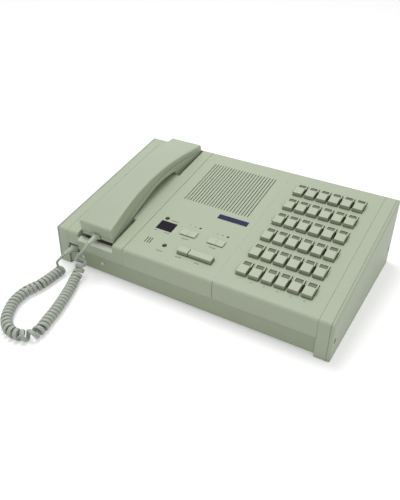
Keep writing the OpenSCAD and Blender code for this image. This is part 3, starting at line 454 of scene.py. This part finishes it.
CASE = moulding("case_moulding", CASE_TONE, CASE_AGED, CASE_RUBBED, CASE_DIRT_AND_SHADE, ageing=0.1, drift=0.02,
                specular=0.35, gap_dirt_and_shade=0.8, shade_reach=0.006)
# Lighter colour for the ledge before the handset: a painted highlight.
LIP_HIGHLIGHT = moulding("lip_painted_highlight", srgb(228, 234, 218), CASE_AGED, CASE_RUBBED, CASE_DIRT_AND_SHADE, ageing=0.1,
               drift=0.02, gap_dirt_and_shade=0.0)
FILLER = moulding("filler_moulding", CASE_TONE, CASE_AGED, CASE_RUBBED, CASE_DIRT_AND_SHADE, ageing=0.1, drift=0.02,
                  wear=0.0, gap_dirt_and_shade=0.2, shade_reach=0.001)
TRAY = moulding("tray_moulding", srgb(167, 177, 153), CASE_AGED, CASE_RUBBED, CASE_DIRT_AND_SHADE, roughness=0.55,
                depth=0.9, bump=0.08, ageing=0.15, drift=0.03)
# The handset's gap mask paints shade where it lies close to the cradle, as well as dirt.
HANDSET = moulding("handset_moulding", srgb(178, 189, 167), CASE_AGED, CASE_RUBBED, srgb(112, 98, 86),
                   roughness=0.38, bump=0.03, gloss_spread=0.2, ageing=0.2, gap_dirt_and_shade=0.8, shade_reach=0.006)
# Dark colour for the slope under the handset's near end: painted shade standing in for the cradle's shadow.
UNDERSIDE_SHADE = moulding("handset_underside_painted_shade", srgb(64, 64, 56), srgb(70, 68, 54), srgb(110, 112, 100),
                     srgb(30, 28, 26))
# The keys' steep and downward faces are painted darker: painted shade on their fronts and sides.
KEYS = moulding("key_moulding", srgb(189, 198, 175), srgb(190, 193, 165), srgb(208, 215, 197),
                srgb(82, 82, 62), roughness=0.46, bump=0.04, ageing=0.15, drift=0.03, steep_face_shade=0.5, gap_dirt_and_shade=0.5)
BOOTS = moulding("boot_moulding", srgb(194, 201, 186), srgb(188, 190, 166), srgb(212, 217, 204), CASE_DIRT_AND_SHADE,
                 roughness=0.4, bump=0.02, gap_dirt_and_shade=1.0, shade_reach=0.0025)
# The cord's gap mask paints shade between the curls as well as dirt.
CORD = moulding("cord_vinyl", srgb(178, 185, 174), srgb(182, 188, 166), srgb(204, 210, 204), srgb(62, 66, 62),
                roughness=0.4, bump=0.02, ageing=0.3, wear=0.35, gloss_spread=0.2, gap_dirt_and_shade=0.45)
HOOK = moulding("hook_moulding", srgb(70, 74, 66), srgb(80, 80, 66), srgb(110, 114, 104), srgb(30, 30, 26))
LENS = moulding("lamp_lens", srgb(122, 128, 104), srgb(100, 100, 82), srgb(150, 156, 134), srgb(60, 62, 50),
                roughness=0.25, bump=0.01, wear=0.3, specular=0.3)
STATUS_LAMP = moulding("status_lamp", srgb(40, 48, 30), srgb(34, 38, 22), srgb(70, 78, 56), srgb(16, 18, 12),
                       roughness=0.25, bump=0.01, specular=0.4)
BADGE = moulding("badge_foil", srgb(32, 34, 74), srgb(26, 28, 56), srgb(96, 100, 128), srgb(16, 17, 40),
                 roughness=0.35, bump=0.01, ageing=0.4, drift=0.3, specular=0.2)
INK = moulding("printed_ink", srgb(58, 62, 54), srgb(74, 76, 62), srgb(90, 94, 84), srgb(48, 50, 42),
               roughness=0.6, bump=0.01, ageing=0.4)


def make_window_material():
    """Smoked purple acrylic with fine dust scratches under a gloss coat."""
    material, tree, shader = start_material("smoked_acrylic")
    where = tree.put("ShaderNodeTexCoord").outputs["Object"]
    depth = tree.spread(tree.noise(where, 60.0, 2.0), 0.35, 0.7)
    tint = tree.blend(depth, srgb(12, 4, 20), srgb(24, 10, 32))
    dust = tree.spread(tree.noise(where, 1500.0, 3.0), 0.6, 0.75, 0.0, 0.12)
    tree.links.new(tree.blend(dust, tint, srgb(96, 88, 104)), shader.inputs["Base Color"])
    smear = tree.spread(tree.noise(where, 90.0, 4.0), 0.3, 0.8, 0.06, 0.22)
    tree.links.new(smear, shader.inputs["Roughness"])
    shader.inputs["Specular IOR Level"].default_value = 0.16
    return material


def make_metal_material(name, colour, roughness):
    """Plated steel with drawn scratches, tarnish and rubbed edges."""
    material, tree, shader = start_material(name)
    where = tree.put("ShaderNodeTexCoord").outputs["Object"]
    stretched = tree.put("ShaderNodeMapping", {"Scale": (1.0, 14.0, 1.0)}, {"Vector": where}).outputs[0]
    scratches = tree.noise(stretched, 700.0, 4.0, 0.7)
    rub_and_shade = tree.put("ShaderNodeGroup", node_tree=EDGE_RUB_AND_GAP_SHADE)
    dull = tree.spread(tree.noise(where, 240.0), 0.4, 0.8, 0.0, 0.35)
    tarnish = tree.blend(dull, colour, srgb(96, 90, 76))
    bright = tree.blend(rub_and_shade.outputs["Rubbed"], tarnish, srgb(225, 225, 222))
    tree.links.new(bright, shader.inputs["Base Color"])
    shader.inputs["Metallic"].default_value = 1.0
    drawn = tree.spread(scratches, 0.2, 0.8, roughness - 0.1, roughness + 0.3)
    tree.links.new(drawn, shader.inputs["Roughness"])
    relief = tree.put("ShaderNodeBump", {"Strength": 0.1, "Distance": 0.0005}, {"Height": scratches})
    tree.links.new(relief.outputs["Normal"], shader.inputs["Normal"])
    return material


def make_board_material():
    """Green board laminate with a woven look and pale copper tracks."""
    material, tree, shader = start_material("board_laminate")
    where = tree.put("ShaderNodeTexCoord").outputs["Object"]
    weave = tree.put(
        "ShaderNodeTexWave", {"Scale": 900.0, "Distortion": 2.0}, {"Vector": where}
    ).outputs["Fac"]
    tracks = tree.put(
        "ShaderNodeTexVoronoi", {"Scale": 160.0}, {"Vector": where}, distance="MANHATTAN"
    ).outputs["Distance"]
    ground = tree.blend(weave, srgb(30, 74, 44), srgb(38, 88, 54))
    line = tree.spread(tracks, 0.42, 0.48)
    tree.links.new(tree.blend(line, ground, srgb(70, 118, 72)), shader.inputs["Base Color"])
    shader.inputs["Roughness"].default_value = 0.4
    relief = tree.put("ShaderNodeBump", {"Strength": 0.2, "Distance": 0.0003}, {"Height": line})
    tree.links.new(relief.outputs["Normal"], shader.inputs["Normal"])
    return material


WINDOW = make_window_material()
SCREW = make_metal_material("plated_screw", srgb(226, 226, 220), 0.32)
STEEL = make_metal_material("stamped_steel", srgb(120, 120, 120), 0.45)
BOARD = make_board_material()

# ---- dressing the frame's own shapes ----

BODY_OF = {node: o["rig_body"] for node, o in frame["nodes"].items()}
SHARP = math.radians(32)


def show(mesh, name, body, material, stands_for=()):
    """Links a finished mesh as a piece that rides on a body."""
    piece = bpy.data.objects.new(name, mesh)
    bpy.context.scene.collection.objects.link(piece)
    mesh.materials.clear()
    mesh.materials.append(material)
    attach(piece, body)
    if stands_for:
        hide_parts(*stands_for)
    return piece


def merged_copy(node, flatten):
    """The node's shape as a closed bmesh, its flat faces joined where flatten is set."""
    bm = bmesh.new()
    bm.from_mesh(frame["nodes"][node].data)
    bmesh.ops.remove_doubles(bm, verts=bm.verts, dist=0.000004)
    if flatten:
        bmesh.ops.dissolve_limit(
            bm, angle_limit=math.radians(1.0), verts=bm.verts, edges=bm.edges, use_dissolve_boundaries=False
        )
    return bm


def soften(piece, width):
    """Small live rounding of every sharp edge, and flat faces that shade flat up to it."""
    bevel = piece.modifiers.new("soft_edges", "BEVEL")
    bevel.width = width
    bevel.segments = 2
    bevel.limit_method = "ANGLE"
    bevel.angle_limit = SHARP
    bevel.use_clamp_overlap = True
    bevel.miter_outer = "MITER_ARC"
    even = piece.modifiers.new("flat_faces", "WEIGHTED_NORMAL")
    even.mode = "FACE_AREA"
    even.weight = 90
    even.keep_sharp = True


def paint_where(piece, material, chosen):
    """Gives a second material to the faces whose centre chosen(centre) picks."""
    piece.data.materials.append(material)
    for face in piece.data.polygons:
        if chosen(face.center):
            face.material_index = 1


def finished(bm, name):
    """The mesh of a bmesh, shaded smooth up to its sharp edges."""
    mesh = bpy.data.meshes.new(name)
    bm.to_mesh(mesh)
    bm.free()
    mesh.shade_smooth()
    mesh.set_sharp_from_angle(angle=SHARP)
    return mesh


def dress(node, name, material, width, shape=None, flatten=True):
    """A refined copy of a CAD node that stands for it."""
    bm = merged_copy(node, flatten)
    if shape:
        shape(bm)
    piece = show(finished(bm, name), name, BODY_OF[node], material, [node])
    soften(piece, width)
    return piece


# ---- case ----


def on_ledge(centre):
    """True on the top and the rounded front edge of the ledge before the handset, which get a painted
    highlight.
    """
    across, up = abs(centre.x / MM - HANDSET_CENTRE), centre.z / MM
    behind_front = centre.y / MM + BODY_DEPTH / 2
    return (across < LEDGE_HALF and behind_front < LEDGE_DEPTH
            and LEDGE_TOP - LEDGE_ROUND < up < LEDGE_TOP + 0.1)


# The covers keep their triangles, because joined faces with many openings shade unevenly
dress("control_cover", "control_housing", CASE, 0.00035, flatten=False)
dress("key_cover", "key_housing", CASE, 0.00035, flatten=False)
cradle = dress("cradle_cover", "cradle_housing", CASE, 0.00035, flatten=False)
# The ledge's top and front edge are painted lighter: a painted highlight.
paint_where(cradle, LIP_HIGHLIGHT, on_ledge)
dress("base_tray", "tray_housing", TRAY, 0.0005)
dress("left_end_cap", "left_cheek", CASE, 0.0004)
dress("right_end_cap", "right_cheek", CASE, 0.0004)
dress("badge_plate", "badge_face", BADGE, 0.0002)
dress("display_window", "window_pane", WINDOW, 0.0002)
dress("screws", "screw_set", SCREW, 0.00012)
lenses = dress("lamp_lenses", "lens_set", LENS, 0.00012)
paint_where(lenses, STATUS_LAMP, lambda centre: centre.x < KEY_LEFT * MM)
dress("hook_plunger", "hook_button", HOOK, 0.0005)

FILLER_WIDTH, FILLER_THICKNESS = 0.44, 1.4
FILLER_LOW = -1.5
JOINT_DEPTH, SLOT_DEPTH = 0.12, 0.1
TOP_FILLER_ENDS = (2.0, 219.0)
FRONT_FILLER_ENDS = (30.0, 46.5)
SLOT_FILLER_SIDES = (1.0, 1.9)


def panel_block(bm, x, s, h):
    """A block between two values, in millimetres, of x, s and h."""
    middle = [(low + high) / 2 for low, high in (x, s, h)]
    size = [MM * (high - low) for low, high in (x, s, h)]
    bmesh.ops.create_cube(bm, size=1, matrix=on_panel(*middle) @ Matrix.Diagonal((*size, 1)))


def make_fillers():
    """Strips that make two of the covers' joints shallow and half close the slots at the row ends."""
    bm = bmesh.new()
    across = (KEY_LEFT - FILLER_WIDTH / 2, KEY_LEFT + FILLER_WIDTH / 2)
    panel_block(bm, across, TOP_FILLER_ENDS, (FILLER_LOW, -JOINT_DEPTH))
    low, high = FRONT_FILLER_ENDS
    front = JOINT_DEPTH + FILLER_THICKNESS / 2 - BODY_DEPTH / 2
    place = Matrix.Translation(MM * Vector((CONTROL_LEFT, front, (low + high) / 2)))
    size = Matrix.Diagonal((FILLER_WIDTH * MM, FILLER_THICKNESS * MM, (high - low) * MM, 1))
    bmesh.ops.create_cube(bm, size=1, matrix=place @ size)
    edge = FIRST_COLUMN + (COLUMNS - 1) * COLUMN_PITCH + KEY_WIDTH / 2
    across = [edge + side for side in SLOT_FILLER_SIDES]
    for row in range(ROWS):
        start = ROW_START + row * ROW_PITCH
        along = (start + ROW_SLOT_FROM, start + KEY_LENGTH - ROW_SLOT_TO)
        panel_block(bm, across, along, (FILLER_LOW, -SLOT_DEPTH))
    show(finished(bm, "joint_fillers"), "joint_fillers", "case", FILLER)


make_fillers()

# ---- keys and sliders ----

for node in sorted(n for n in frame["nodes"] if n.startswith("station_key")):
    dress(node, node.replace("station_key", "key_cap"), KEYS, 0.00022)
dress("cancel_key", "cancel_bar", KEYS, 0.0003)
dress("talk_key", "talk_bar", KEYS, 0.0003)
dress("volume_slider", "volume_knob", KEYS, 0.0003)
dress("tone_slider", "tone_knob", KEYS, 0.0003)

# ---- handset ----

OUTER_ROUND, ROUND_SEGMENTS = 0.0026, 5
TOP_BAND = 0.4
END_BAND = 0.3
STEEP = math.radians(50)
UPRIGHT_SLACK = 0.0002


def handset_place(point):
    """(distance from the near end, height above the panel) of a point, in millimetres."""
    y = point.y / MM + BODY_DEPTH / 2
    z = point.z / MM - FRONT_HEIGHT
    s = y * math.cos(SLOPE) + z * math.sin(SLOPE)
    return s - HANDSET_NEAR, z * math.cos(SLOPE) - y * math.sin(SLOPE)


def bow(u):
    return math.sin(math.pi * min(max(u, 0.0), 1.0))


def top_height(s):
    u = s / HANDSET_LENGTH
    arch = ARCH_RISE * bow(u) + SHOULDER_RISE * bow(u / SHOULDER_END) ** 2
    return NEAR_TOP + (FAR_TOP - NEAR_TOP) * u + arch


def round_shell(bm):
    """Rounds a handset shell's long upper edges and its upright corners at both ends."""
    def on_top(vert):
        s, h = handset_place(vert.co)
        return h > top_height(s) - TOP_BAND

    def on_end(vert):
        s = handset_place(vert.co)[0]
        return s < END_BAND or s > HANDSET_LENGTH - END_BAND

    def wanted(edge):
        if not edge.is_convex or edge.calc_face_angle(0.0) < STEEP:
            return False
        a, b = edge.verts
        upright = abs(a.co.x - b.co.x) < UPRIGHT_SLACK and on_end(a) and on_end(b)
        return upright or on_top(a) and on_top(b)

    edges = [e for e in bm.edges if len(e.link_faces) == 2 and wanted(e)]
    bmesh.ops.bevel(
        bm, geom=edges, offset=OUTER_ROUND, offset_type="OFFSET", segments=ROUND_SEGMENTS, profile=0.5,
        affect="EDGES", clamp_overlap=True, material=-1,
    )


def under_near_end(centre):
    """True on the slope under the handset's near end, which is painted dark as painted shade for the cradle's
    shadow there.
    """
    s, h = handset_place(centre)
    return s < NEAR_CUT and -BLOCK_DEPTH < h < NEAR_LOW


dress("handset_top_shell", "handset_back", HANDSET, 0.0004, shape=round_shell)
handset_front = dress("handset_bottom_shell", "handset_front", HANDSET, 0.0004,
                      shape=round_shell)
# The slope under the near end gets the dark colour: painted shade.
paint_where(handset_front, UNDERSIDE_SHADE, under_near_end)
dress("handset_plug", "handset_boot", BOOTS, 0.0002)
dress("base_plug", "base_boot", BOOTS, 0.0002)

# ---- cord ----


def curve_at(points, t):
    """Point at parameter t on a smooth curve through the points."""
    last = len(points) - 1
    i = min(int(t), last - 1)
    f = t - i
    p0, p1, p2, p3 = (points[k] for k in (max(i - 1, 0), i, i + 1, min(i + 2, last)))
    return 0.5 * (2 * p1 + (p2 - p0) * f + (2 * p0 - 5 * p1 + 4 * p2 - p3) * f**2
                  + (3 * p1 - p0 - 3 * p2 + p3) * f**3)


def metres(points):
    return [MM * Vector(p) for p in points]


AXIS_STEPS = 12
axis_points = metres(COIL_AXIS)
axis_count = (len(axis_points) - 1) * AXIS_STEPS
axis_line = [curve_at(axis_points, i / AXIS_STEPS) for i in range(axis_count + 1)]
axis_steps = [b - a for a, b in zip(axis_line, axis_line[1:])]
# Running length on the inner side of the bends, so that the curls stay apart there
winding = [0.0]
for i, step in enumerate(axis_steps):
    bend = axis_steps[i - 1].angle(step) if i else 0.0
    winding.append(winding[-1] + step.length - MM * CURL_DIAMETER / 2 * bend)

curl_rings = int((CURLS - 0.5) * RINGS_PER_CURL)
curl_radius = MM * (CURL_DIAMETER - CORD_THICKNESS) / 2


def axis_index(ring):
    """Fractional index on the coil's axis of one ring of the winding."""
    length = winding[-1] * ring / curl_rings
    k = min(bisect_right(winding, length) - 1, axis_count - 1)
    return min(axis_count, k + (length - winding[k]) / (winding[k + 1] - winding[k]))


def axis_way(k):
    ahead = curve_at(axis_points, min(k + 0.5, axis_count) / AXIS_STEPS)
    behind = curve_at(axis_points, max(k - 0.5, 0) / AXIS_STEPS)
    return (ahead - behind).normalized()


def coil_points():
    """Centres of the curls' rings, and the coil's direction at each."""
    points, ways, side = [], [], Vector((1, 0, 0))
    for ring in range(curl_rings + 1):
        k = axis_index(ring)
        way = axis_way(k)
        side = (side - way * side.dot(way)).normalized()
        turn = START_TURN + math.tau * ring / RINGS_PER_CURL
        out = side * math.cos(turn) + way.cross(side) * math.sin(turn)
        points.append(curve_at(axis_points, k / AXIS_STEPS) + curl_radius * out)
        ways.append(way)
    return points, ways


base_end = MM * Vector(BASE_END)
hand_end = panel_point(HANDSET_CENTRE, HANDSET_NEAR - PLUG_FIT - HAND_BOOT, HAND_SOCKET_HEIGHT)
up_slope = Vector((0, math.cos(SLOPE), math.sin(SLOPE)))
coil, coil_ways = coil_points()
base_part = [base_end, base_end - MM * CORD_WIDTH * Vector((0, 1, 0))] + metres(BASE_LEAD)
hand_part = metres(HAND_LEAD) + [hand_end - MM * CORD_WIDTH * up_slope, hand_end]
route = base_part + coil + hand_part
first_curl = len(base_part)
last_curl = first_curl + curl_rings

FINER = 3
SECTION_SIDES = 14
SECTION_SQUARENESS = 2.6


def section_point(k, wide, thick):
    """Point k round a flat cord's rounded section."""
    a = math.tau * k / SECTION_SIDES
    c, s = math.cos(a), math.sin(a)
    power = 2 / SECTION_SQUARENESS
    return (wide / 2 * math.copysign(abs(c) ** power, c), thick / 2 * math.copysign(abs(s) ** power, s))


def make_cord():
    """The flat curly cord as one tube, its wide side along the coil's axis."""
    count = (len(route) - 1) * FINER
    line = [curve_at(route, i / FINER) for i in range(count + 1)]
    bm = bmesh.new()
    side, rings = Vector((1, 0, 0)), []
    for i, centre in enumerate(line):
        way = (line[min(i + 1, count)] - line[max(i - 1, 0)]).normalized()
        if i == 0:
            way = Vector((0, -1, 0))
        if i == count:
            way = up_slope
        at = i / FINER
        if first_curl <= at <= last_curl:
            side = coil_ways[int(at) - first_curl]
        side = (side - way * side.dot(way)).normalized()
        other = way.cross(side)
        flat = max(0.0, min(1.0, (at - first_curl + 2) / 2, (last_curl + 2 - at) / 2))
        wide = MM * (CORD_THICKNESS + (CORD_WIDTH - CORD_THICKNESS) * flat)
        places = [section_point(k, wide, MM * CORD_THICKNESS) for k in range(SECTION_SIDES)]
        rings.append([bm.verts.new(centre + side * a + other * b) for a, b in places])
    for low, high in zip(rings, rings[1:]):
        for k in range(SECTION_SIDES):
            n = (k + 1) % SECTION_SIDES
            bm.faces.new((low[k], low[n], high[n], high[k]))
    bm.faces.new(reversed(rings[0]))
    bm.faces.new(rings[-1])
    bmesh.ops.recalc_face_normals(bm, faces=bm.faces)
    mesh = finished(bm, "curly_flex")
    mesh.materials.append(CORD)
    cord = bpy.data.objects.new("curly_flex", mesh)
    bpy.context.scene.collection.objects.link(cord)
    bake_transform(cord)
    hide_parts("curly_cord")


make_cord()

# ---- printed marks ----

# The marks are half sunk into the panel
MARK_THICKNESS = 0.00006


def mark_block(bm, x, s, width, length, turn=0.0):
    """A flat printed bar on the panel."""
    place = on_panel(x, s) @ Matrix.Rotation(turn, 4, "Z")
    size = Matrix.Diagonal((width * MM, length * MM, MARK_THICKNESS, 1))
    bmesh.ops.create_cube(bm, size=1, matrix=place @ size)


def mark_dot(bm, x, s, radius):
    place = on_panel(x, s)
    bmesh.ops.create_cone(
        bm, cap_ends=True, segments=20, radius1=radius * MM, radius2=radius * MM, depth=MARK_THICKNESS,
        matrix=place,
    )


def add_number(bm, text, x, s, height):
    """A plain printed figure, centred at x and s."""
    curve = bpy.data.curves.new("figure", "FONT")
    curve.body = text
    curve.size = height * MM
    curve.align_x, curve.align_y = "CENTER", "CENTER"
    curve.extrude = MARK_THICKNESS / 2
    holder = bpy.data.objects.new("figure", curve)
    mesh = bpy.data.meshes.new_from_object(holder)
    mesh.transform(on_panel(x, s))
    bm.from_mesh(mesh)
    bpy.data.objects.remove(holder)
    bpy.data.curves.remove(curve)
    bpy.data.meshes.remove(mesh)


RIDGE_SIZE = (0.0007, 0.0088, 0.0006)
FIGURE_HEIGHT = 3.0
FIGURE_S = 17.6
LEVEL_MARK_S = 72.0
BAR_PITCH, BAR_SIZE = 1.7, (1.1, 1.2)
# Centre, distance up the slope and number of small bars of each generic label
LABELS = [
    (-63.0, 47.3, 2), (-47.2, 47.3, 4), (SLIDER_XS[0], 47.8, 5), (SLIDER_XS[1], 47.8, 5),
    (-38.6, 17.6, 5), (-12.5, 17.6, 5), (11.4, 17.6, 4), (-49.4, 70.2, 6),
]


def make_column_figures():
    bm = bmesh.new()
    for column in range(COLUMNS):
        add_number(bm, str(column + 1), FIRST_COLUMN + column * COLUMN_PITCH, FIGURE_S, FIGURE_HEIGHT)
    show(finished(bm, "column_figures"), "column_figures", "case", INK)


def make_panel_marks():
    """Level marks over the sliders and plain bars where the controls are named."""
    bm = bmesh.new()
    for x in SLIDER_XS:
        mark_block(bm, x - 6.0, LEVEL_MARK_S, 0.5, 2.6, math.radians(35))
        mark_dot(bm, x + 1.0, LEVEL_MARK_S, 0.8)
        mark_dot(bm, x + 7.8, LEVEL_MARK_S, 1.6)
    for x, s, bars in LABELS:
        for i in range(bars):
            mark_block(bm, x + (i - (bars - 1) / 2) * BAR_PITCH, s, *BAR_SIZE)
    show(finished(bm, "panel_marks"), "panel_marks", "case", INK)


def make_slider_ridge(body, x):
    """The raised pointer line across the middle of a slider cap."""
    bm = bmesh.new()
    place = on_panel(x, SLIDER_S, SLIDER_TOP) @ Matrix.Diagonal((*RIDGE_SIZE, 1))
    bmesh.ops.create_cube(bm, size=1, matrix=place)
    show(finished(bm, body + "_ridge"), body + "_ridge", body, KEYS)


make_column_figures()
make_panel_marks()
for body, x in zip(("volume_slider", "tone_slider"), SLIDER_XS):
    make_slider_ridge(body, x)

# ---- inner parts keep their frame shape ----

INNER = {
    "main_board": BOARD, "key_board": BOARD, "speaker": STEEL, "handset_capsules": STEEL,
}
for node, material in INNER.items():
    mesh_slots = frame["nodes"][node].material_slots
    if not mesh_slots:
        frame["nodes"][node].data.materials.append(material)
    for mesh_slot in mesh_slots:
        mesh_slot.link = "OBJECT"
        mesh_slot.material = material
